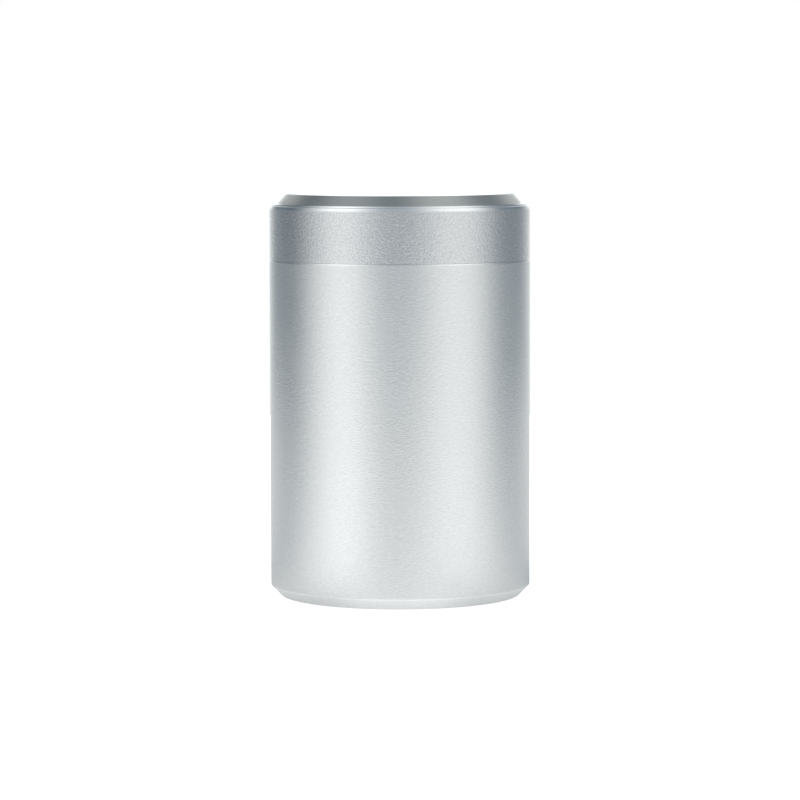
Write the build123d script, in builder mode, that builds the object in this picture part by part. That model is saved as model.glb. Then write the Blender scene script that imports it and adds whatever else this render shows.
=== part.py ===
from build123d import *
import os

# A round aluminium can with a flush screw lid.
#
# The can is a drawn cup with a turned neck collar pressed into its mouth. The lid is a turned
# ring with a raised top disc set in it, and a moulded insert inside carries the thread.
# +Z is up, and the origin is at the centre of the face that the can stands on.

# Driving dimensions, in millimetres.
can_diameter = 76.0
body_height = 98.6  # floor to the rim that the lid closes on
lid_height = 19.1  # that rim to the flat top of the lid

shell_wall = 1.5
base_thickness = 1.6
base_chamfer = 3.1
inside_corner_radius = 2.5
standing_rim_width = 2.4  # flat ring round the recess in the base
foot_edge_radius = 0.5

pad_thickness = 1.2
pad_stands_proud = 0.3
pad_side_gap = 0.2
pad_edge_radius = 0.25

seam_gap = 0.08  # between the rim and the lid's lower edge
lid_edge_chamfer = 0.3  # round the lid's lower edge
rim_chamfer = 0.12  # round the can's rim
bond_gap = 0.05  # glue line of a pressed and bonded joint

lid_wall = 0.8
shoulder_radius = 1.5
ledge_width = 2.0
ledge_thickness = 1.2
disc_seat_depth = 1.2
boss_inset = 2.4  # outside of the lid to the foot of the raised disc
boss_height = 2.85  # shoulder to the flat top
boss_slope_width = 2.5  # foot of the raised disc to its flat top
boss_edge_radius = 0.2
disc_thickness = 1.5
disc_wall = 3.0
disc_pocket_radius = 1.0

insert_wall = 0.9  # behind the thread
insert_floor_gap = 0.2  # insert to the collar's flange
lip_height = 0.4
lip_width = 0.4
lip_gap = 0.05  # lip to the underside of the gasket

gasket_thickness = 1.6
gasket_side_gap = 0.2
gasket_edge_radius = 0.3

thread_lead = 3.0
thread_depth = 0.7
thread_root_width = 1.6
thread_crest_width = 0.8
thread_clearance = 0.15  # crest to root, both ways
thread_end_gap = 0.6  # between the thread and what lies above or below it
thread_bury = 0.2  # the ridge reaches this far into the wall that carries it

neck_wall = 1.0  # behind the thread
flange_thickness = 0.6
flange_overlap = 0.45
spigot_length = 9.0
spigot_lead_in = 1.4
mouth_chamfer = 0.25

cord_diameter = 1.2
cord_clearance = 0.05
groove_side_gap = 0.15
bead_height = 0.7
bead_depth = 0.95  # of the groove, below the bead's rim

# Radii, worked from the outside in.
outer_radius = can_diameter / 2
shell_bore = outer_radius - shell_wall
lid_bore = outer_radius - lid_wall
insert_radius = lid_bore - bond_gap
insert_bore = insert_radius - insert_wall
insert_thread_crest = insert_bore - thread_depth
neck_thread_crest = insert_bore - thread_clearance
neck_radius = neck_thread_crest - thread_depth
mouth_radius = neck_radius - neck_wall
cord_outer_radius = insert_bore - cord_clearance
groove_radius = cord_outer_radius - cord_diameter
bead_radius = groove_radius + bead_depth
flange_radius = shell_bore + flange_overlap
spigot_radius = shell_bore - bond_gap
foot_radius = outer_radius - base_chamfer
recess_radius = foot_radius - standing_rim_width
disc_seat_radius = outer_radius - boss_inset
disc_radius = disc_seat_radius - bond_gap
boss_top_radius = disc_radius - boss_slope_width
ledge_bore = disc_seat_radius - ledge_width
lip_radius = insert_bore - lip_width
gasket_radius = insert_bore - gasket_side_gap

# Heights, worked from the floor up and from the top of the lid down.
floor_height = pad_thickness + base_thickness
spigot_bottom = body_height - spigot_length
lid_bottom = body_height + seam_gap
top_height = body_height + lid_height
shoulder_height = top_height - boss_height
seat_height = shoulder_height - disc_seat_depth
ledge_bottom = seat_height - ledge_thickness
neck_top = ledge_bottom - gasket_thickness
flange_top = body_height + flange_thickness
groove_top = flange_top + cord_diameter + 2 * groove_side_gap
bead_top = groove_top + bead_height
insert_bottom = flange_top + insert_floor_gap
lip_top = neck_top - lip_gap
lip_bottom = lip_top - lip_height

# The two threads are one helix, with the insert's ridge half a lead below the neck's.
insert_thread_start = bead_top + thread_end_gap + thread_root_width / 2
neck_thread_start = insert_thread_start + thread_lead / 2
neck_thread_end = lip_bottom - thread_end_gap - thread_root_width / 2
thread_rise = neck_thread_end - neck_thread_start


def thread_ridge(wall_radius, crest_radius, start_height):
    """A right-handed ridge of trapezium section on a round wall, sunk a little into that wall."""
    outwards = 1 if crest_radius > wall_radius else -1
    flank_slope = (thread_root_width - thread_crest_width) / 2 / thread_depth
    buried_half_width = thread_root_width / 2 + flank_slope * thread_bury
    buried_radius = wall_radius - outwards * thread_bury
    with BuildPart() as ridge:
        with BuildLine() as path:
            Helix(
                pitch=thread_lead,
                height=thread_rise,
                radius=wall_radius,
                center=(0, 0, start_height),
            )
        with BuildSketch(Plane.XZ):
            Polygon(
                (buried_radius, start_height - buried_half_width),
                (crest_radius, start_height - thread_crest_width / 2),
                (crest_radius, start_height + thread_crest_width / 2),
                (buried_radius, start_height + buried_half_width),
                align=None,
            )
        sweep(path=path.wire(), is_frenet=True)
    return ridge.part


def corner_at(sketch, radius, height):
    """The corner of a profile at this radius and height, which are the sketch's own x and y."""
    return sketch.vertices().sort_by_distance((radius, height, 0))[0]


os.makedirs("parts", exist_ok=True)

# Can shell: a drawn cup with a chamfered foot and a shallow recess underneath for the pad.
with BuildPart() as can_shell:
    with BuildSketch(Plane.XZ) as shell_profile:
        with BuildLine():
            Polyline(
                (0, pad_thickness),
                (recess_radius, pad_thickness),
                (recess_radius, pad_stands_proud),
                (foot_radius, pad_stands_proud),
                (outer_radius, pad_stands_proud + base_chamfer),
                (outer_radius, body_height - rim_chamfer),
                (outer_radius - rim_chamfer, body_height),
                (shell_bore, body_height),
                (shell_bore, floor_height),
                (0, floor_height),
                close=True,
            )
        make_face()
        fillet(corner_at(shell_profile, shell_bore, floor_height), inside_corner_radius)
        fillet(corner_at(shell_profile, foot_radius, pad_stands_proud), foot_edge_radius)
    revolve(axis=Axis.Z)
can_shell.part.label = "can_shell"
export_step(can_shell.part, "parts/can_shell.step")

# Base pad: a flat rubber disc bonded in the recess, standing a little proud of the metal.
with BuildPart() as base_pad:
    with BuildSketch():
        Circle(recess_radius - pad_side_gap)
    extrude(amount=pad_thickness)
    fillet(base_pad.faces().sort_by(Axis.Z)[0].edges(), pad_edge_radius)
base_pad.part.label = "base_pad"
export_step(base_pad.part, "parts/base_pad.step")

# Neck collar: the spigot is pressed into the shell, the flange stops on its rim, and the neck
# above carries the sealing ring's groove and the outside thread.
neck_ridge = thread_ridge(neck_radius, neck_thread_crest, neck_thread_start)
with BuildPart() as neck_collar:
    with BuildSketch(Plane.XZ) as collar_profile:
        with BuildLine():
            Polyline(
                (mouth_radius, spigot_bottom + spigot_lead_in),
                (mouth_radius + spigot_lead_in, spigot_bottom),
                (spigot_radius, spigot_bottom),
                (spigot_radius, body_height),
                (flange_radius, body_height),
                (flange_radius, flange_top),
                (groove_radius, flange_top),
                (groove_radius, groove_top),
                (bead_radius, groove_top),
                (bead_radius, bead_top),
                (neck_radius, bead_top),
                (neck_radius, neck_top),
                (mouth_radius, neck_top),
                close=True,
            )
        make_face()
        chamfer(corner_at(collar_profile, neck_radius, neck_top), mouth_chamfer)
        chamfer(corner_at(collar_profile, mouth_radius, neck_top), mouth_chamfer)
    revolve(axis=Axis.Z)
    add(neck_ridge)
neck_collar.part.label = "neck_collar"
export_step(neck_collar.part, "parts/neck_collar.step")

# Sealing ring: a rubber cord ring that lies in the neck's groove.
with BuildPart() as sealing_ring:
    cord_radius = cord_diameter / 2
    with BuildSketch(Plane.XZ):
        with Locations((groove_radius + cord_radius, flange_top + groove_side_gap + cord_radius)):
            Circle(cord_radius)
    revolve(axis=Axis.Z)
sealing_ring.part.label = "sealing_ring"
export_step(sealing_ring.part, "parts/sealing_ring.step")

# Lid ring: the lid's side and shoulder, with an inner ledge that carries the disc from below
# and stops the thread insert from above.
with BuildPart() as lid_ring:
    with BuildSketch(Plane.XZ) as ring_profile:
        with BuildLine():
            Polyline(
                (outer_radius - lid_edge_chamfer, lid_bottom),
                (outer_radius, lid_bottom + lid_edge_chamfer),
                (outer_radius, shoulder_height),
                (disc_seat_radius, shoulder_height),
                (disc_seat_radius, seat_height),
                (ledge_bore, seat_height),
                (ledge_bore, ledge_bottom),
                (lid_bore, ledge_bottom),
                (lid_bore, lid_bottom),
                close=True,
            )
        make_face()
        fillet(corner_at(ring_profile, outer_radius, shoulder_height), shoulder_radius)
    revolve(axis=Axis.Z)
lid_ring.part.label = "lid_ring"
export_step(lid_ring.part, "parts/lid_ring.step")

# Top disc: a turned disc with a sloping side and a shallow pocket underneath, bonded in its seat.
with BuildPart() as top_disc:
    with BuildSketch(Plane.XZ) as disc_profile:
        with BuildLine():
            Polyline(
                (0, top_height),
                (boss_top_radius, top_height),
                (disc_radius, shoulder_height),
                (disc_radius, seat_height),
                (disc_radius - disc_wall, seat_height),
                (disc_radius - disc_wall, top_height - disc_thickness),
                (0, top_height - disc_thickness),
                close=True,
            )
        make_face()
        fillet(corner_at(disc_profile, boss_top_radius, top_height), boss_edge_radius)
        pocket_corner = corner_at(disc_profile, disc_radius - disc_wall, top_height - disc_thickness)
        fillet(pocket_corner, disc_pocket_radius)
    revolve(axis=Axis.Z)
top_disc.part.label = "top_disc"
export_step(top_disc.part, "parts/top_disc.step")

# Thread insert: a moulded sleeve bonded in the lid ring, with the inside thread and, at the
# top, a lip that keeps the gasket in.
insert_ridge = thread_ridge(insert_bore, insert_thread_crest, insert_thread_start)
with BuildPart() as thread_insert:
    with BuildSketch(Plane.XZ):
        with BuildLine():
            Polyline(
                (insert_bore, insert_bottom),
                (insert_radius, insert_bottom),
                (insert_radius, ledge_bottom),
                (insert_bore, ledge_bottom),
                (insert_bore, lip_top),
                (lip_radius, lip_top),
                (lip_radius, lip_bottom),
                (insert_bore, lip_bottom),
                close=True,
            )
        make_face()
    revolve(axis=Axis.Z)
    add(insert_ridge)
thread_insert.part.label = "thread_insert"
export_step(thread_insert.part, "parts/thread_insert.step")

# Lid gasket: a flat ring, loose between the ledge and the lip, that closes on the neck's top.
with BuildPart() as lid_gasket:
    with BuildSketch(Plane.XY.offset(neck_top)):
        Circle(gasket_radius)
        Circle(mouth_radius, mode=Mode.SUBTRACT)
    extrude(amount=gasket_thickness)
    outer_edges = lid_gasket.edges().filter_by(GeomType.CIRCLE).sort_by(SortBy.RADIUS)[-2:]
    fillet(outer_edges, gasket_edge_radius)
lid_gasket.part.label = "lid_gasket"
export_step(lid_gasket.part, "parts/lid_gasket.step")

print(f"overall height {top_height:.2f}, mouth bore {2 * mouth_radius:.2f}")
print(f"threads from {neck_thread_start:.2f} to {neck_thread_end:.2f}, turns {thread_rise / thread_lead:.2f}")
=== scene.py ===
"""A round satin aluminium can with a flush screw lid, standing in a plain white studio."""

import math

import bmesh
import bpy
import numpy as np
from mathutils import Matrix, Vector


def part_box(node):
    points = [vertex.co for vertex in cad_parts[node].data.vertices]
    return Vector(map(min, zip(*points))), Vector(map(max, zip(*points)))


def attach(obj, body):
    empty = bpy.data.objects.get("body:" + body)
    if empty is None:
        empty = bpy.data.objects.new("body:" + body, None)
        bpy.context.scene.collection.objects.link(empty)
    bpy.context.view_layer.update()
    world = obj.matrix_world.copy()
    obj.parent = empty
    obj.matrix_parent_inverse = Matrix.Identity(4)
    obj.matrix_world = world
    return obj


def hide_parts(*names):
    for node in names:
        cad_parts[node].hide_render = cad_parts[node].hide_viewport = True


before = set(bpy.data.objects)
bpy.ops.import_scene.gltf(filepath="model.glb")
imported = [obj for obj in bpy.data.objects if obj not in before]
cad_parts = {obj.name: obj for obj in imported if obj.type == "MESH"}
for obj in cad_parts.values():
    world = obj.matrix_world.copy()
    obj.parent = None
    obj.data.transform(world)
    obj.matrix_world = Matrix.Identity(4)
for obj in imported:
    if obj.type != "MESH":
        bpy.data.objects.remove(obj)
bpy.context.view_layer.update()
mm = 0.001

# ---------------------------------------------------------------------------------------------
# Can shell: the straight-sided cup. It is drawn from aluminium sheet, its outside is skimmed on
# a lathe and anodised satin silver, and a 45 degree chamfer runs round the foot.
# ---------------------------------------------------------------------------------------------


def outline(corners, closed):
    """Profile rows (radius, height, edge) from corners (radius, height, rounding).

    Each corner is replaced by the arc of its rounding that touches both of its sides. A row close
    to each end of the arc keeps the flats flat, and a row further off is where edge, which is 1
    on the arc and nearly 1 at its ends, has faded to 0. The first and last corner of an open
    outline stay sharp.
    """
    arc_steps, hold, fade = 7, 0.02 * mm, 0.25 * mm
    hold_edge, longest_fade = 0.9, 0.4  # edge at the close row; most of a side that a fade takes
    xy = np.array([c[:2] for c in corners], float)
    rows = []
    for i, (_, _, rounding) in enumerate(corners):
        here = xy[i]
        if not closed and i in (0, len(corners) - 1):
            rows.append((*here, 0.0))
            continue
        before, after = xy[i - 1], xy[(i + 1) % len(corners)]
        reach_in, reach_out = np.linalg.norm(before - here), np.linalg.norm(after - here)
        to_before, to_after = (before - here) / reach_in, (after - here) / reach_out
        half = math.acos(np.clip(to_before @ to_after, -1, 1)) / 2
        cut = rounding / math.tan(half)
        inwards = (to_before + to_after) / np.linalg.norm(to_before + to_after)
        middle = here + inwards * rounding / math.sin(half)
        start, end = here + to_before * cut - middle, here + to_after * cut - middle
        turn = math.pi - 2 * half
        share = np.linspace(0, 1, arc_steps)[:, None]
        arc = (np.sin((1 - share) * turn) * start + np.sin(share * turn) * end) / math.sin(turn) + middle
        fade_in = min(fade, (reach_in - cut) * longest_fade)
        fade_out = min(fade, (reach_out - cut) * longest_fade)
        rows.append((*(here + to_before * (cut + fade_in)), 0.0))
        rows.append((*(here + to_before * (cut + hold)), hold_edge))
        rows += [(*point, 1.0) for point in arc]
        rows.append((*(here + to_after * (cut + hold)), hold_edge))
        rows.append((*(here + to_after * (cut + fade_out)), 0.0))
    return np.array(rows)


def turned(rows, closed, segments=256):
    """Surface of revolution: row (radius, height) at angle a is (radius cos a, radius sin a, height).

    Returns points, quads, uv and edge. The uv is in metres: the way round at the widest radius,
    and the way along the profile.
    """
    radius, height, edge = rows.T
    angle = np.arange(segments) * 2 * math.pi / segments
    x = np.outer(radius, np.cos(angle))
    y = np.outer(radius, np.sin(angle))
    z = np.repeat(height[:, None], segments, axis=1)
    points = np.stack([x, y, z], axis=-1).reshape(-1, 3)
    count = len(rows)
    low = np.arange(count if closed else count - 1)[:, None]
    high = (low + 1) % count
    here = np.arange(segments)[None, :]
    after = (here + 1) % segments
    corners = [low * segments + here, low * segments + after, high * segments + after, high * segments + here]
    quads = np.stack(np.broadcast_arrays(*corners), axis=-1).reshape(-1, 4)
    steps = np.hypot(np.diff(radius, append=radius[0]), np.diff(height, append=height[0]))
    along = np.concatenate([[0], np.cumsum(steps)])
    way_round = radius.max() * 2 * math.pi / segments
    steps_round = [here + 0 * low, here + 1, here + 1, here]
    steps_along = [along[low] + 0 * here, along[low], along[low + 1], along[low + 1]]
    u = np.stack(np.broadcast_arrays(*steps_round), axis=-1) * way_round
    v = np.stack(np.broadcast_arrays(*steps_along), axis=-1)
    return points, quads, np.stack([u, v], axis=-1).reshape(-1, 2), np.repeat(edge, segments)


def new_piece(name, surfaces, material, body, slot, *replaced):
    """Joins surfaces (points, quads, uv, edge) into one mesh object that rides on a body.

    Points that fall together, as at a pole, are merged, and the normals are turned outwards.
    """
    same_point = 1e-4 * mm
    offsets = np.cumsum([0] + [len(points) for points, *_ in surfaces[:-1]])
    points = np.concatenate([surface[0] for surface in surfaces])
    quads = np.concatenate([surface[1] + offset for surface, offset in zip(surfaces, offsets)])
    uv = np.concatenate([surface[2] for surface in surfaces]).astype(np.float32)
    edge = np.concatenate([surface[3] for surface in surfaces]).astype(np.float32)
    mesh = bpy.data.meshes.new(name)
    mesh.from_pydata(points.tolist(), [], quads.tolist())
    mesh.uv_layers.new(name="turned").data.foreach_set("uv", uv.ravel())
    mesh.attributes.new("edge", "FLOAT", "POINT").data.foreach_set("value", edge)
    work = bmesh.new()
    work.from_mesh(mesh)
    bmesh.ops.remove_doubles(work, verts=work.verts, dist=same_point)
    bmesh.ops.recalc_face_normals(work, faces=work.faces)
    work.to_mesh(mesh)
    work.free()
    mesh.polygons.foreach_set("use_smooth", np.ones(len(mesh.polygons), bool))
    mesh.materials.append(material)
    piece = bpy.data.objects.new(name, mesh)
    bpy.context.scene.collection.objects.link(piece)
    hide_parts(*replaced)
    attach(piece, body)
    return piece


def node(tree, kind, place=(0, 0), **values):
    """A new shader node. Values whose names are inputs set those inputs; the rest set properties."""
    made = tree.nodes.new(kind)
    made.location = place
    for key, value in values.items():
        if key in made.inputs:
            made.inputs[key].default_value = value
        else:
            setattr(made, key, value)
    return made


def new_group(name, inputs, outputs):
    """An empty shader node group with float or vector sockets, and its input and output nodes."""
    group = bpy.data.node_groups.new(name, "ShaderNodeTree")
    for label, kind, value in inputs:
        socket = group.interface.new_socket(label, in_out="INPUT", socket_type=kind)
        if value is not None:
            socket.default_value = value
    for label, kind in outputs:
        group.interface.new_socket(label, in_out="OUTPUT", socket_type=kind)
    return group, node(group, "NodeGroupInput", (-1100, 0)), node(group, "NodeGroupOutput", (900, 0))


def math_node(tree, operation, first, second=None, place=(0, 0), clamp=False):
    """A math node fed by sockets or numbers; returns its output."""
    made = node(tree, "ShaderNodeMath", place, operation=operation, use_clamp=clamp)
    for socket, value in zip(made.inputs, (first, second)):
        if isinstance(value, bpy.types.NodeSocket):
            tree.links.new(value, socket)
        elif value is not None:
            socket.default_value = value
    return made.outputs[0]


FLOAT, VECTOR = "NodeSocketFloat", "NodeSocketVector"

# Turning lines: noise that changes fast along the profile and slowly round the axis.
lines, lines_in, lines_out = new_group(
    "turning_lines",
    [
        ("Along", FLOAT, 0.0),
        ("Place", VECTOR, None),
        ("Lines per metre", FLOAT, 2000.0),
        ("Patchiness", FLOAT, 12.0),
    ],
    [("Height", FLOAT), ("Patches", FLOAT)],
)
split = node(lines, "ShaderNodeSeparateXYZ", (-900, -100))
lines.links.new(lines_in.outputs["Place"], split.inputs[0])
fineness, patchiness = lines_in.outputs["Lines per metre"], lines_in.outputs["Patchiness"]
along_lines = math_node(lines, "MULTIPLY", lines_in.outputs["Along"], fineness, (-900, 150))
stretched = node(lines, "ShaderNodeCombineXYZ", (-500, 0))
for axis, key in enumerate("XY"):
    slow = math_node(lines, "MULTIPLY", split.outputs[key], patchiness, (-700, -150 * axis))
    lines.links.new(slow, stretched.inputs[key])
lines.links.new(along_lines, stretched.inputs["Z"])
line_noise = node(lines, "ShaderNodeTexNoise", (-250, 100), Scale=1.0, Detail=3.0, Roughness=0.65)
patch_noise = node(lines, "ShaderNodeTexNoise", (-250, -250), Scale=55.0, Detail=3.0, Roughness=0.6)
lines.links.new(stretched.outputs[0], line_noise.inputs["Vector"])
lines.links.new(lines_in.outputs["Place"], patch_noise.inputs["Vector"])
lines.links.new(line_noise.outputs["Fac"], lines_out.inputs["Height"])
lines.links.new(patch_noise.outputs["Fac"], lines_out.inputs["Patches"])

# Blasted grain: fine round pits over a coarser mottle.
grain, grain_in, grain_out = new_group(
    "blasted_grain",
    [("Place", VECTOR, None), ("Pits per metre", FLOAT, 2600.0)],
    [("Height", FLOAT), ("Mottle", FLOAT)],
)
fine = node(grain, "ShaderNodeTexNoise", (-300, 200), Detail=2.0, Roughness=0.7)
grain.links.new(grain_in.outputs["Place"], fine.inputs["Vector"])
grain.links.new(grain_in.outputs["Pits per metre"], fine.inputs["Scale"])
mottle_share = 0.3  # the mottle's blotches per metre over the pits per metre
coarse_scale = math_node(grain, "MULTIPLY", grain_in.outputs["Pits per metre"], mottle_share, (-600, -150))
coarse = node(grain, "ShaderNodeTexNoise", (-300, -150), Detail=2.0, Roughness=0.5)
grain.links.new(grain_in.outputs["Place"], coarse.inputs["Vector"])
grain.links.new(coarse_scale, coarse.inputs["Scale"])
grain.links.new(fine.outputs["Fac"], grain_out.inputs["Height"])
grain.links.new(coarse.outputs["Fac"], grain_out.inputs["Mottle"])


def turned_aluminium(
    name,
    colour,
    roughness,
    anisotropic,
    line_bump,
    line_tone,
    lines_per_metre,
    lines_round,
    pit_bump,
    pit_tone,
    pits,
    edge_wear_and_highlight_tone=0.05,
):
    """Anodised aluminium with lathe lines and blasted pits in its bump and colour.

    Lines are lines_per_metre along the profile and broken lines_round times per metre round the
    axis, and pits is the number of pits in a metre. A bump is in millimetres, and a tone is a
    share of the colour. Roughness changes slowly over the surface. Rounded edges have no pits and
    are smoother, where the anodising is rubbed thin. Their colour is brighter by
    edge_wear_and_highlight_tone: partly rubbed-thin anodising, partly a painted highlight.
    """
    rough_patches, edge_polish = 0.06, -0.07
    material = bpy.data.materials.new(name)
    material.use_nodes = True
    tree = material.node_tree
    shader = tree.nodes["Principled BSDF"]
    shader.inputs["Metallic"].default_value = 1.0
    shader.inputs["Anisotropic"].default_value = anisotropic
    place = node(tree, "ShaderNodeTexCoord", (-1400, 0))
    across = node(tree, "ShaderNodeSeparateXYZ", (-1200, -200))
    tree.links.new(place.outputs["UV"], across.inputs[0])
    line_group = node(tree, "ShaderNodeGroup", (-950, -100), node_tree=lines)
    line_group.inputs["Lines per metre"].default_value = lines_per_metre
    line_group.inputs["Patchiness"].default_value = lines_round
    tree.links.new(across.outputs["Y"], line_group.inputs["Along"])
    tree.links.new(place.outputs["Object"], line_group.inputs["Place"])
    grain_group = node(tree, "ShaderNodeGroup", (-950, 250), node_tree=grain)
    grain_group.inputs["Pits per metre"].default_value = pits
    tree.links.new(place.outputs["Object"], grain_group.inputs["Place"])
    rounded_edge = node(tree, "ShaderNodeAttribute", (-950, 500), attribute_name="edge")

    off_edge = math_node(tree, "SUBTRACT", 1.0, rounded_edge.outputs["Fac"], (-820, 450))
    pits_left = math_node(tree, "SUBTRACT", grain_group.outputs["Height"], 0.5, (-820, 300))
    pits_left = math_node(tree, "MULTIPLY", pits_left, off_edge, (-760, 350))
    tone = math_node(tree, "MULTIPLY", pits_left, pit_tone, (-700, 350))
    streak = math_node(tree, "MULTIPLY_ADD", line_group.outputs["Height"], line_tone, (-700, 150))
    streak.node.inputs[2].default_value = -line_tone / 2
    shade = math_node(tree, "ADD", tone, streak, (-520, 250))
    # Painted highlight, partly rubbed anodising: the colour is brighter on rounded edges.
    edge_wear_and_highlight = math_node(tree, "MULTIPLY", rounded_edge.outputs["Fac"], edge_wear_and_highlight_tone, (-520, 450))
    shade = math_node(tree, "ADD", shade, edge_wear_and_highlight, (-360, 300))
    shade = math_node(tree, "ADD", shade, 1.0, (-220, 300))
    tint = node(tree, "ShaderNodeVectorMath", (-60, 300), operation="SCALE")
    tint.inputs[0].default_value = colour
    tree.links.new(shade, tint.inputs["Scale"])
    tree.links.new(tint.outputs[0], shader.inputs["Base Color"])

    rough = math_node(tree, "MULTIPLY_ADD", line_group.outputs["Patches"], rough_patches, (-520, 0))
    rough.node.inputs[2].default_value = roughness - rough_patches / 2
    polish = math_node(tree, "MULTIPLY", rounded_edge.outputs["Fac"], edge_polish, (-520, -120))
    rough = math_node(tree, "ADD", rough, polish, (-300, 0))
    tree.links.new(rough, shader.inputs["Roughness"])

    ridges = math_node(tree, "MULTIPLY", line_group.outputs["Height"], line_bump, (-520, -300))
    pitted = math_node(tree, "MULTIPLY", pits_left, pit_bump, (-520, -450))
    height = math_node(tree, "ADD", ridges, pitted, (-300, -350))
    bump = node(tree, "ShaderNodeBump", (-60, -300), Strength=1.0, Distance=1 * mm)
    tree.links.new(height, bump.inputs["Height"])
    tree.links.new(bump.outputs[0], shader.inputs["Normal"])
    tangent = node(tree, "ShaderNodeTangent", (-60, -550), direction_type="RADIAL", axis="Z")
    tree.links.new(tangent.outputs[0], shader.inputs["Tangent"])
    return material


shell_low, shell_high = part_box("can_shell")
outer_radius = shell_high.x
rim_height = shell_high.z
foot_height = shell_low.z
shell_wall = 1.5 * mm
base_thickness = 1.6 * mm
base_chamfer = 3.1 * mm
standing_rim_width = 2.4 * mm
inside_corner_radius = 2.5 * mm
rim_bevel, rim_bevel_height = 0.15 * mm, 0.42 * mm
shell_bore = outer_radius - shell_wall
recess_radius = outer_radius - base_chamfer - standing_rim_width
recess_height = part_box("base_pad")[1].z
floor_height = recess_height + base_thickness
satin_silver = turned_aluminium(
    "satin_silver_body",
    colour=(0.838, 0.864, 0.862),
    roughness=0.27,
    anisotropic=0.5,
    line_bump=0.035,
    line_tone=0.22,
    lines_per_metre=2300,
    lines_round=850,
    pit_bump=0.004,
    pit_tone=0.05,
    pits=1700,
)
shell_rows = outline(
    [
        (0, recess_height, 0),
        (recess_radius, recess_height, 0.3 * mm),
        (recess_radius, foot_height, 0.15 * mm),
        (outer_radius - base_chamfer, foot_height, 0.5 * mm),
        (outer_radius, foot_height + base_chamfer, 0.5 * mm),
        (outer_radius, rim_height - rim_bevel_height, 0.1 * mm),
        (outer_radius - rim_bevel, rim_height, 0.03 * mm),
        (shell_bore, rim_height, 0.1 * mm),
        (shell_bore, floor_height, inside_corner_radius),
        (0, floor_height, 0),
    ],
    closed=False,
)
new_piece("turned_can_shell", [turned(shell_rows, False)], satin_silver, "can", "body_aluminium", "can_shell")

# ---------------------------------------------------------------------------------------------
# Base pad: a disc cut from black rubber sheet and bonded in the recess under the can. It stands
# a little proud of the metal, so the can rests on it.
# ---------------------------------------------------------------------------------------------


def soft_material(name, colour, roughness, spread, bump_height, grain_per_metre, subsurface=0.0):
    """Rubber or moulded plastic: fine grain in the bump, and slow changes in colour and roughness.

    spread is the share by which the colour changes, and the grain is bump_height high.
    """
    rough_patches = 0.16
    material = bpy.data.materials.new(name)
    material.use_nodes = True
    tree = material.node_tree
    shader = tree.nodes["Principled BSDF"]
    shader.inputs["Subsurface Weight"].default_value = subsurface
    shader.inputs["Subsurface Scale"].default_value = 1.5 * mm
    place = node(tree, "ShaderNodeTexCoord", (-1200, 0))
    grain_group = node(tree, "ShaderNodeGroup", (-950, 100), node_tree=grain)
    grain_group.inputs["Pits per metre"].default_value = grain_per_metre
    tree.links.new(place.outputs["Object"], grain_group.inputs["Place"])
    cloud = node(tree, "ShaderNodeTexNoise", (-950, -200), Scale=70.0, Detail=3.0)
    tree.links.new(place.outputs["Object"], cloud.inputs["Vector"])
    shade = math_node(tree, "MULTIPLY_ADD", cloud.outputs["Fac"], spread, (-700, 200))
    shade.node.inputs[2].default_value = 1 - spread / 2
    speck = math_node(tree, "MULTIPLY_ADD", grain_group.outputs["Mottle"], spread, (-700, 50))
    speck.node.inputs[2].default_value = -spread / 2
    tint = node(tree, "ShaderNodeVectorMath", (-300, 200), operation="SCALE")
    tint.inputs[0].default_value = colour
    tree.links.new(math_node(tree, "ADD", shade, speck, (-500, 150)), tint.inputs["Scale"])
    tree.links.new(tint.outputs[0], shader.inputs["Base Color"])
    rough = math_node(tree, "MULTIPLY_ADD", cloud.outputs["Fac"], rough_patches, (-500, -100))
    rough.node.inputs[2].default_value = roughness - rough_patches / 2
    tree.links.new(rough, shader.inputs["Roughness"])
    bump = node(tree, "ShaderNodeBump", (-300, -300), Strength=1.0, Distance=bump_height)
    tree.links.new(grain_group.outputs["Height"], bump.inputs["Height"])
    tree.links.new(bump.outputs[0], shader.inputs["Normal"])
    return material


pad_low, pad_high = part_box("base_pad")
pad_rows = outline(
    [
        (0, pad_low.z, 0),
        (pad_high.x, pad_low.z, 0.25 * mm),
        (pad_high.x, pad_high.z, 0.08 * mm),
        (0, pad_high.z, 0),
    ],
    closed=False,
)
pad_rubber = soft_material(
    "black_rubber_sheet",
    colour=(0.022, 0.022, 0.023),
    roughness=0.68,
    spread=0.3,
    bump_height=0.05 * mm,
    grain_per_metre=1800,
)
new_piece("moulded_base_pad", [turned(pad_rows, False)], pad_rubber, "can", "pad_rubber", "base_pad")

# ---------------------------------------------------------------------------------------------
# Neck collar: turned from aluminium tube and pressed into the can's mouth until its flange meets
# the rim. The neck above has a groove for the sealing ring and one coarse thread.
# ---------------------------------------------------------------------------------------------


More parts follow.
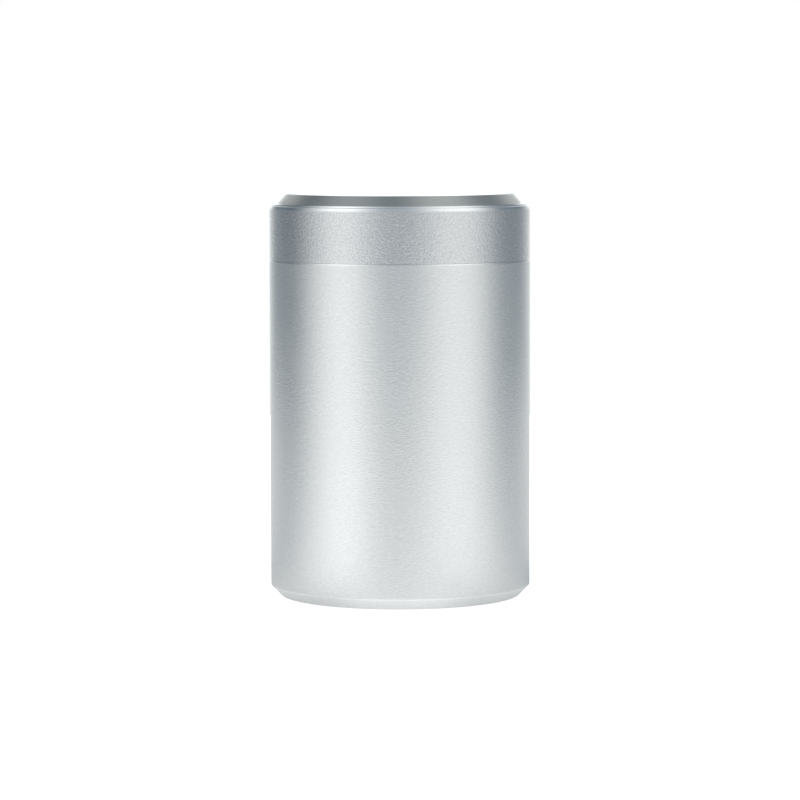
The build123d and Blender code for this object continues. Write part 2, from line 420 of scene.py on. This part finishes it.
def thread_ridge(wall_radius, crest_radius, start_height, rise, lead, root_width, crest_width):
    """Ridge along a helix: at angle a its height is start_height + lead a / (2 pi).

    Its section is a trapezium with rounded crest corners, sunk into the wall, and it swells from
    nothing at each end over a few degrees, as a cutter leaves it.
    """
    sunk, end_angle, steps_per_turn, edge_strip = 0.1 * mm, math.radians(5), 220, 0.1 * mm
    outwards = math.copysign(1, crest_radius - wall_radius)
    depth = abs(crest_radius - wall_radius)
    flare = (root_width - crest_width) / 2 / depth * sunk
    section = outline(
        [
            (-sunk, -root_width / 2 - flare, 0.02 * mm),
            (depth, -crest_width / 2, 0.15 * mm),
            (depth, crest_width / 2, 0.15 * mm),
            (-sunk, root_width / 2 + flare, 0.02 * mm),
        ],
        closed=True,
    )
    turns = rise / lead
    steps = int(steps_per_turn * turns)
    a = np.linspace(0, 2 * math.pi * turns, steps + 1)
    swell = np.clip(np.minimum(a, a[-1] - a) / end_angle, 0, 1)
    swell = np.sqrt(1 - (1 - swell) ** 2)[:, None]
    radius = wall_radius + outwards * ((section[:, 0] + sunk)[None, :] * swell - sunk)
    height = start_height + lead * a[:, None] / (2 * math.pi) + section[:, 1][None, :] * swell
    x, y = radius * np.cos(a)[:, None], radius * np.sin(a)[:, None]
    points = np.stack([x, y, height], axis=-1).reshape(-1, 3)
    count = len(section)
    row = np.arange(steps)[:, None]
    across = np.arange(count)[None, :]
    beside = (across + 1) % count
    low, high = row * count, (row + 1) * count
    corners = [low + across, low + beside, high + beside, high + across]
    quads = np.stack(np.broadcast_arrays(*corners), axis=-1).reshape(-1, 4)
    u = np.stack(np.broadcast_arrays(row, row + 0 * across, row + 1, row + 1), axis=-1) * a[1] * wall_radius
    v = np.stack(np.broadcast_arrays(across, across + 1, across + 1, across + 0 * row), axis=-1) * edge_strip
    return points, quads, np.stack([u, v], axis=-1).reshape(-1, 2), np.tile(section[:, 2], steps + 1)


collar_low, collar_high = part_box("neck_collar")
insert_low, insert_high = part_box("thread_insert")
seal_low, seal_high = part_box("sealing_ring")
neck_wall = 1.0 * mm
insert_wall = 0.9 * mm
bond_gap = 0.05 * mm
spigot_lead_in = 1.4 * mm
flange_thickness = 0.6 * mm
bead_depth, bead_height = 0.95 * mm, 0.7 * mm
lip_gap, lip_height = 0.05 * mm, 0.4 * mm
thread_lead = 3.0 * mm
thread_depth = 0.7 * mm
thread_root_width = 1.6 * mm
thread_crest_width = 0.8 * mm
thread_end_gap = 0.6 * mm
thread_clearance = 0.15 * mm
insert_bore = insert_high.x - insert_wall
neck_thread_crest = insert_bore - thread_clearance
neck_radius = neck_thread_crest - thread_depth
mouth_radius = neck_radius - neck_wall
spigot_radius = shell_bore - bond_gap
flange_top = rim_height + flange_thickness
groove_radius = seal_high.x - (seal_high.z - seal_low.z)
groove_top = seal_high.z + (seal_low.z - flange_top)
bead_radius = groove_radius + bead_depth
bead_top = groove_top + bead_height
lip_top = collar_high.z - lip_gap
lip_bottom = lip_top - lip_height
neck_thread_end = lip_bottom - thread_end_gap - thread_root_width / 2
insert_thread_start = bead_top + thread_end_gap + thread_root_width / 2
neck_thread_start = insert_thread_start + thread_lead / 2
thread_rise = neck_thread_end - neck_thread_start
collar_rows = outline(
    [
        (mouth_radius, collar_low.z + spigot_lead_in, 0.3 * mm),
        (mouth_radius + spigot_lead_in, collar_low.z, 0.2 * mm),
        (spigot_radius, collar_low.z, 0.1 * mm),
        (spigot_radius, rim_height, 0.04 * mm),
        (collar_high.x, rim_height, 0.1 * mm),
        (collar_high.x, flange_top, 0.12 * mm),
        (groove_radius, flange_top, 0.1 * mm),
        (groove_radius, groove_top, 0.1 * mm),
        (bead_radius, groove_top, 0.08 * mm),
        (bead_radius, bead_top, 0.15 * mm),
        (neck_radius, bead_top, 0.15 * mm),
        (neck_radius, collar_high.z, 0.25 * mm),
        (mouth_radius, collar_high.z, 0.25 * mm),
    ],
    closed=True,
)
thread_form = (thread_rise, thread_lead, thread_root_width, thread_crest_width)
neck_ridge = thread_ridge(neck_radius, neck_thread_crest, neck_thread_start, *thread_form)
machined = turned_aluminium(
    "machined_collar",
    colour=(0.79, 0.80, 0.81),
    roughness=0.26,
    anisotropic=0.6,
    line_bump=0.02,
    line_tone=0.15,
    lines_per_metre=2600,
    lines_round=12,
    pit_bump=0.0,
    pit_tone=0.05,
    pits=2600,
)
collar = [turned(collar_rows, True), neck_ridge]
new_piece("threaded_neck_collar", collar, machined, "can", "collar_aluminium", "neck_collar")

# ---------------------------------------------------------------------------------------------
# Sealing ring: a black nitrile cord ring, moulded round and stretched over the neck into its
# groove. The insert's bore slides over it as the lid closes.
# ---------------------------------------------------------------------------------------------
cord_radius = (seal_high.z - seal_low.z) / 2
cord_sides = 28
around = np.linspace(0, 2 * math.pi, cord_sides, endpoint=False)
seal_rows = np.stack(
    [
        seal_high.x - cord_radius + cord_radius * np.cos(around),
        seal_low.z + cord_radius + cord_radius * np.sin(around),
        0 * around,
    ],
    axis=1,
)
nitrile = soft_material(
    "black_nitrile",
    colour=(0.014, 0.014, 0.015),
    roughness=0.38,
    spread=0.3,
    bump_height=0.01 * mm,
    grain_per_metre=3000,
)
new_piece("cord_sealing_ring", [turned(seal_rows, True)], nitrile, "can", "seal_rubber", "sealing_ring")

# ---------------------------------------------------------------------------------------------
# Lid ring: the side and rounded shoulder of the lid, turned from aluminium, bead-blasted to a
# finer, greyer grain than the can, and anodised. A ledge inside carries the disc.
# ---------------------------------------------------------------------------------------------
ring_low, ring_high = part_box("lid_ring")
disc_low, disc_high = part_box("top_disc")
shoulder_radius = 1.5 * mm
ledge_width = 2.0 * mm
lid_bore = insert_high.x + bond_gap
disc_seat_radius = disc_high.x + bond_gap
ledge_bore = disc_seat_radius - ledge_width
ring_rows = outline(
    [
        (outer_radius, ring_low.z, 0.04 * mm),
        (outer_radius, ring_high.z, shoulder_radius),
        (disc_seat_radius, ring_high.z, 0.15 * mm),
        (disc_seat_radius, disc_low.z, 0.1 * mm),
        (ledge_bore, disc_low.z, 0.15 * mm),
        (ledge_bore, insert_high.z, 0.15 * mm),
        (lid_bore, insert_high.z, 0.1 * mm),
        (lid_bore, ring_low.z, 0.08 * mm),
    ],
    closed=True,
)
blasted_silver = turned_aluminium(
    "blasted_silver_lid",
    colour=(0.725, 0.752, 0.76),
    roughness=0.2,
    anisotropic=0.0,
    line_bump=0.002,
    line_tone=0.05,
    lines_per_metre=1700,
    lines_round=550,
    pit_bump=0.09,
    pit_tone=0.5,
    pits=1800,
    # Painted highlight: the lid ring's rounded edges, the shoulder among them, are a fifth brighter.
    edge_wear_and_highlight_tone=0.2,
)
new_piece("turned_lid_ring", [turned(ring_rows, True)], blasted_silver, "lid", "lid_aluminium", "lid_ring")

# ---------------------------------------------------------------------------------------------
# Top disc: a smooth turned disc with a sloping side, set in the ring and bonded on its ledge.
# Its underside is bored out to a shallow pocket.
# ---------------------------------------------------------------------------------------------
boss_slope_width = 2.5 * mm
disc_wall, disc_thickness = 3.0 * mm, 1.5 * mm
boss_top_radius = disc_high.x - boss_slope_width
pocket_radius = disc_high.x - disc_wall
pocket_top = disc_high.z - disc_thickness
disc_rows = outline(
    [
        (0, disc_high.z, 0),
        (boss_top_radius, disc_high.z, 0.2 * mm),
        (disc_high.x, ring_high.z, 0.15 * mm),
        (disc_high.x, disc_low.z, 0.1 * mm),
        (pocket_radius, disc_low.z, 0.1 * mm),
        (pocket_radius, pocket_top, 1.0 * mm),
        (0, pocket_top, 0),
    ],
    closed=False,
)
bright_silver = turned_aluminium(
    "bright_silver_disc",
    colour=(0.51, 0.535, 0.525),
    roughness=0.24,
    anisotropic=0.3,
    line_bump=0.004,
    line_tone=0.1,
    lines_per_metre=3000,
    lines_round=12,
    pit_bump=0.0,
    pit_tone=0.1,
    pits=1500,
    # Painted highlight: the disc's rounded edges are a tenth brighter.
    edge_wear_and_highlight_tone=0.1,
)
new_piece("turned_top_disc", [turned(disc_rows, False)], bright_silver, "lid", "disc_aluminium", "top_disc")

# ---------------------------------------------------------------------------------------------
# Thread insert: a white polypropylene sleeve moulded with the inside thread and a gasket lip,
# glued into the lid ring up to the ledge.
# ---------------------------------------------------------------------------------------------
lip_width = 0.4 * mm
lip_radius = insert_bore - lip_width
insert_thread_crest = insert_bore - thread_depth
insert_rows = outline(
    [
        (insert_bore, insert_low.z, 0.12 * mm),
        (insert_high.x, insert_low.z, 0.12 * mm),
        (insert_high.x, insert_high.z, 0.05 * mm),
        (insert_bore, insert_high.z, 0.05 * mm),
        (insert_bore, lip_top, 0.05 * mm),
        (lip_radius, lip_top, 0.08 * mm),
        (lip_radius, lip_bottom, 0.12 * mm),
        (insert_bore, lip_bottom, 0.1 * mm),
    ],
    closed=True,
)
insert_ridge = thread_ridge(insert_bore, insert_thread_crest, insert_thread_start, *thread_form)
polypropylene = soft_material(
    "white_polypropylene",
    colour=(0.78, 0.78, 0.75),
    roughness=0.42,
    spread=0.05,
    bump_height=0.01 * mm,
    grain_per_metre=2200,
    subsurface=0.15,
)
insert = [turned(insert_rows, True), insert_ridge]
new_piece("threaded_insert", insert, polypropylene, "lid", "insert_plastic", "thread_insert")

# ---------------------------------------------------------------------------------------------
# Lid gasket: a flat ring stamped from translucent white silicone. It lies loose between the lid
# ring's ledge and the insert's lip, and closes on the top of the neck.
# ---------------------------------------------------------------------------------------------
gasket_low, gasket_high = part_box("lid_gasket")
gasket_rows = outline(
    [
        (mouth_radius, gasket_low.z, 0.1 * mm),
        (gasket_high.x, gasket_low.z, 0.3 * mm),
        (gasket_high.x, gasket_high.z, 0.3 * mm),
        (mouth_radius, gasket_high.z, 0.1 * mm),
    ],
    closed=True,
)
silicone = soft_material(
    "white_silicone",
    colour=(0.74, 0.74, 0.71),
    roughness=0.5,
    spread=0.06,
    bump_height=0.015 * mm,
    grain_per_metre=2000,
    subsurface=0.3,
)
new_piece("silicone_gasket", [turned(gasket_rows, True)], silicone, "gasket", "gasket_rubber", "lid_gasket")

# ---------------------------------------------------------------------------------------------
# Floor: a plain white painted table top, which the eye sees as near white, with a faint shadow at the foot.
# What the metal reflects of it is a painted glow: painted light, brightest on the sides where the soft boxes
# would light it, and a painted shadow under the can with a painted bright band round its foot.
# ---------------------------------------------------------------------------------------------


def brightness_ramp(tree, stops, first, last, share, place, between="LINEAR"):
    """A ramp of greys through (position, brightness), with positions scaled from first..last to 0..1.

    The darker a grey is, the cooler it is, as a dark screen under daylight lamps looks. With
    between="EASE" the ramp is level at each stop, as at the middle of a soft box or of a screen.
    """
    ramp = node(tree, "ShaderNodeValToRGB", place)
    ramp.color_ramp.interpolation = between
    elements = ramp.color_ramp.elements
    shares = [(position - first) / (last - first) for position, _ in stops]
    for at in shares[1:-1]:
        elements.new(at)
    for element, (_, brightness) in zip(elements, stops):
        red, blue = min(1, 0.83 + 0.24 * brightness), max(1, 1.16 - 0.22 * brightness)
        element.color = (brightness * red, brightness, brightness * blue, 1)
    tree.links.new(share, ramp.inputs[0])
    return ramp.outputs["Color"]


def dimmed(tree, first, second, place):
    """The product of two greys."""
    product = node(tree, "ShaderNodeMix", place, data_type="RGBA", blend_type="MULTIPLY")
    product.inputs["Factor"].default_value = 1.0
    tree.links.new(first, product.inputs["A"])
    tree.links.new(second, product.inputs["B"])
    return product.outputs["Result"]


table_reach = 0.62
corner = np.array([-1, 1]) * table_reach
table_mesh = bpy.data.meshes.new("white_table")
table_mesh.from_pydata([(x, y, 0) for y in corner for x in corner], [], [(0, 1, 3, 2)])
table = bpy.data.objects.new("white_table", table_mesh)
bpy.context.scene.collection.objects.link(table)
paint = bpy.data.materials.new("white_table_paint")
paint.use_nodes = True
top = paint.node_tree
paint_shader = top.nodes["Principled BSDF"]
paint_shader.inputs["Base Color"].default_value = (0.9, 0.9, 0.9, 1)
paint_shader.inputs["Roughness"].default_value = 0.9
paint_shader.inputs["Specular IOR Level"].default_value = 0.0
paint_shader.inputs["Emission Color"].default_value = (1, 1, 1, 1)
paint_shader.inputs["Emission Strength"].default_value = 0.75
spot = node(top, "ShaderNodeTexCoord", (-1700, 0))
# How far round the can a place on the table lies: 0 and 1 behind it, 0.5 in front of it. The
# ramps give that place in degrees, -180 to 180, and how far out it lies in metres.
across_table = node(top, "ShaderNodeSeparateXYZ", (-1500, 300))
top.links.new(spot.outputs["Object"], across_table.inputs[0])
forwards = math_node(top, "MULTIPLY", across_table.outputs["Y"], -1.0, (-1300, 400))
bearing = math_node(top, "ARCTAN2", across_table.outputs["X"], forwards, (-1100, 300))
bearing = math_node(top, "MULTIPLY_ADD", bearing, 0.5 / math.pi, (-900, 300))
bearing.node.inputs[2].default_value = 0.5
# Painted light: the glow that the metal sees is brighter at the bearings where the soft boxes would light the
# table, both near the foot and further out.
painted_light_near_foot = brightness_ramp(
    top,
    [(-180, 0.48), (-85, 0.69), (-45, 0.71), (-10, 0.91), (10, 0.92), (45, 0.71), (90, 0.64), (130, 0.47),
     (180, 0.48)],
    -180, 180, bearing, (-500, 300), "EASE",
)
painted_light_further_out = brightness_ramp(
    top,
    [(-180, 0.87), (-112, 0.58), (-45, 1.15), (-5, 0.84), (45, 1.04), (112, 0.6), (180, 0.87)],
    -180, 180, bearing, (-500, 0), "EASE",
)
reach = node(top, "ShaderNodeVectorMath", (-900, -300), operation="LENGTH")
top.links.new(spot.outputs["Object"], reach.inputs[0])
distance = reach.outputs["Value"]
outwards = brightness_ramp(top, [(0, 0), (50 * mm, 0), (120 * mm, 1), (1, 1)], 0, 1, distance, (-500, -300))
# Painted shadow: the glow is near black under the can, then brighter in a narrow painted ring just round the
# foot, which the foot's rounded edge reflects.
painted_shadow_under_can = brightness_ramp(
    top,
    [(0, 0.05), (34.4 * mm, 0.05), (35.5 * mm, 1.3), (38 * mm, 1.3), (40 * mm, 1), (1, 1)],
    0, 1, distance, (-500, -550),
)
painted_table_light = node(top, "ShaderNodeMix", (-200, 150), data_type="RGBA")
top.links.new(outwards, painted_table_light.inputs["Factor"])
top.links.new(painted_light_near_foot, painted_table_light.inputs["A"])
top.links.new(painted_light_further_out, painted_table_light.inputs["B"])
glow = node(top, "ShaderNodeEmission", (150, -300))
top.links.new(dimmed(top, painted_table_light.outputs["Result"], painted_shadow_under_can, (0, 0)), glow.inputs["Color"])
table_seen = node(top, "ShaderNodeLightPath", (0, 500))
table_choice = node(top, "ShaderNodeMixShader", (500, 0))
top.links.new(table_seen.outputs["Is Camera Ray"], table_choice.inputs["Fac"])
top.links.new(glow.outputs[0], table_choice.inputs[1])
top.links.new(paint_shader.outputs[0], table_choice.inputs[2])
top.links.new(table_choice.outputs[0], top.nodes["Material Output"].inputs["Surface"])
table_mesh.materials.append(paint)

# ---------------------------------------------------------------------------------------------
# Studio: white all round to the eye. What the metal reflects is two tall soft boxes in front, at
# each side, which lean over the can, dark screens beside it, and a white wall behind.
# ---------------------------------------------------------------------------------------------
world = bpy.data.worlds.new("studio")
world.use_nodes = True
bpy.context.scene.world = world
sky = world.node_tree
sky.nodes.clear()
# The lights are laid out by the small mirror at the can that would throw each of them straight
# forwards, along -Y. For a light towards (x, y, z) the mirror faces (x, y - 1, z): turned round
# by arctan2(x, 1 - y), and tilted up by arcsin(z / sqrt(2 - 2 y)).
toward = node(sky, "ShaderNodeTexCoord", (-1900, 0))
aim = node(sky, "ShaderNodeSeparateXYZ", (-1700, 0))
sky.links.new(toward.outputs["Generated"], aim.inputs[0])
to_front = math_node(sky, "SUBTRACT", 1.0, aim.outputs["Y"], (-1500, 100))
turned_round = math_node(sky, "ARCTAN2", aim.outputs["X"], to_front, (-1300, 300))
turned_round = math_node(sky, "MULTIPLY_ADD", turned_round, 1 / math.pi, (-1100, 300))
turned_round.node.inputs[2].default_value = 0.5
mirror_length = math_node(sky, "MULTIPLY", to_front, 2.0, (-1300, -50))
mirror_length = math_node(sky, "SQRT", mirror_length, None, (-1100, -50))
tilt_up = math_node(sky, "DIVIDE", aim.outputs["Z"], mirror_length, (-900, -150))
tilt_up = math_node(sky, "ARCSINE", tilt_up, None, (-700, -150))
tilt_up = math_node(sky, "MULTIPLY_ADD", tilt_up, 1 / math.pi, (-500, -150))
tilt_up.node.inputs[2].default_value = 0.5
# The ramps give both in degrees. Round the can they run over twice the mirror's own turn.
level = brightness_ramp(
    sky,
    [(-180, 1.0), (-172, 0.99), (-137, 0.27), (-112, 0.22), (-52, 0.94), (-9, 0.45), (2, 0.45), (48, 0.86),
     (58, 0.86), (105, 0.29), (127, 0.27), (180, 1.0)],
    -180, 180, turned_round, (-300, 300), "EASE",
)
rise = brightness_ramp(
    sky,
    [(-90, 1.12), (-3, 1.15), (1, 0.87), (4, 1.01), (8, 1.32), (13, 1.38), (20, 1.3), (32, 1.5), (47, 1.3),
     (68, 1.35), (90, 1.3)],
    -90, 90, tilt_up, (-300, -100),
)
# The screens between the boxes are darker overhead than beside the can.
contrast = brightness_ramp(
    sky, [(-90, 1), (2, 1), (10, 1.4), (90, 1.4)], -90, 90, tilt_up, (-300, -250)
)
shaped = node(sky, "ShaderNodeGamma", (-50, 300))
sky.links.new(level, shaped.inputs["Color"])
sky.links.new(contrast, shaped.inputs["Gamma"])
# High up, where the slope of the lid's disc faces, the boxes end and a dimmer band runs round.
band_level = brightness_ramp(
    sky,
    [(-180, 0.9), (-140, 0.75), (-95, 0.22), (-55, 0.38), (-30, 0.35), (-8, 0.26), (33, 0.66), (50, 0.62),
     (85, 0.29), (100, 0.31), (145, 0.9), (180, 0.9)],
    -180, 180, turned_round, (-300, 600), "EASE",
)
band = brightness_ramp(
    sky, [(-90, 0), (34, 0), (37, 1), (41, 1), (44, 0), (90, 0)], -90, 90, tilt_up, (-300, 900)
)
boxes = node(sky, "ShaderNodeMix", (250, 400), data_type="RGBA")
sky.links.new(band, boxes.inputs["Factor"])
sky.links.new(dimmed(sky, shaped.outputs["Color"], rise, (50, 150)), boxes.inputs["A"])
sky.links.new(band_level, boxes.inputs["B"])
back_wall = brightness_ramp(
    sky, [(-90, 0), (70, 0), (79, 1.35), (90, 1.35)], -90, 90, tilt_up, (-300, -400)
)
all_lights = node(sky, "ShaderNodeMix", (250, 50), data_type="RGBA", blend_type="ADD")
all_lights.inputs["Factor"].default_value = 1.0
sky.links.new(boxes.outputs["Result"], all_lights.inputs["A"])
sky.links.new(back_wall, all_lights.inputs["B"])
studio_light = node(sky, "ShaderNodeBackground", (450, 100), Strength=1.0)
sky.links.new(all_lights.outputs["Result"], studio_light.inputs["Color"])
backdrop = node(sky, "ShaderNodeBackground", (400, -100), Color=(1, 1, 1, 1), Strength=1.0)
seen = node(sky, "ShaderNodeLightPath", (150, -250))
choice = node(sky, "ShaderNodeMixShader", (650, 0))
sky.links.new(seen.outputs["Is Camera Ray"], choice.inputs["Fac"])
sky.links.new(studio_light.outputs[0], choice.inputs[1])
sky.links.new(backdrop.outputs[0], choice.inputs[2])
sky_out = node(sky, "ShaderNodeOutputWorld", (850, 0))
sky.links.new(choice.outputs[0], sky_out.inputs["Surface"])

lamp = bpy.data.lights.new("overhead_lamp", "AREA")
lamp.shape = "DISK"
lamp.size = 1.6
lamp.energy = 12
overhead = bpy.data.objects.new("overhead_lamp", lamp)
overhead.location = (0, 0, 1.3)
overhead.visible_glossy = False
bpy.context.scene.collection.objects.link(overhead)

# ---------------------------------------------------------------------------------------------
# Camera: a long lens straight in front of the can, a little above its lid and looking slightly
# down at it. Its distance and height are in the can's radii, and its view is the whole width.
# ---------------------------------------------------------------------------------------------
camera_distance = 27.466 * outer_radius
camera_height = foot_height + 3.7348 * outer_radius
look_down = math.radians(4.6536)
tilt = math.radians(-0.13)
view_width = math.radians(12.767)
lens = bpy.data.cameras.new("camera")
lens.sensor_width = 36
lens.lens = lens.sensor_width / 2 / math.tan(view_width / 2)
camera = bpy.data.objects.new("camera", lens)
camera.location = (0, -camera_distance, camera_height)
camera.rotation_euler = (math.pi / 2 - look_down, 0, 0)
camera.rotation_euler.rotate_axis("Z", tilt)
bpy.context.scene.collection.objects.link(camera)
bpy.context.scene.camera = camera
bpy.context.scene.view_settings.view_transform = "Standard"
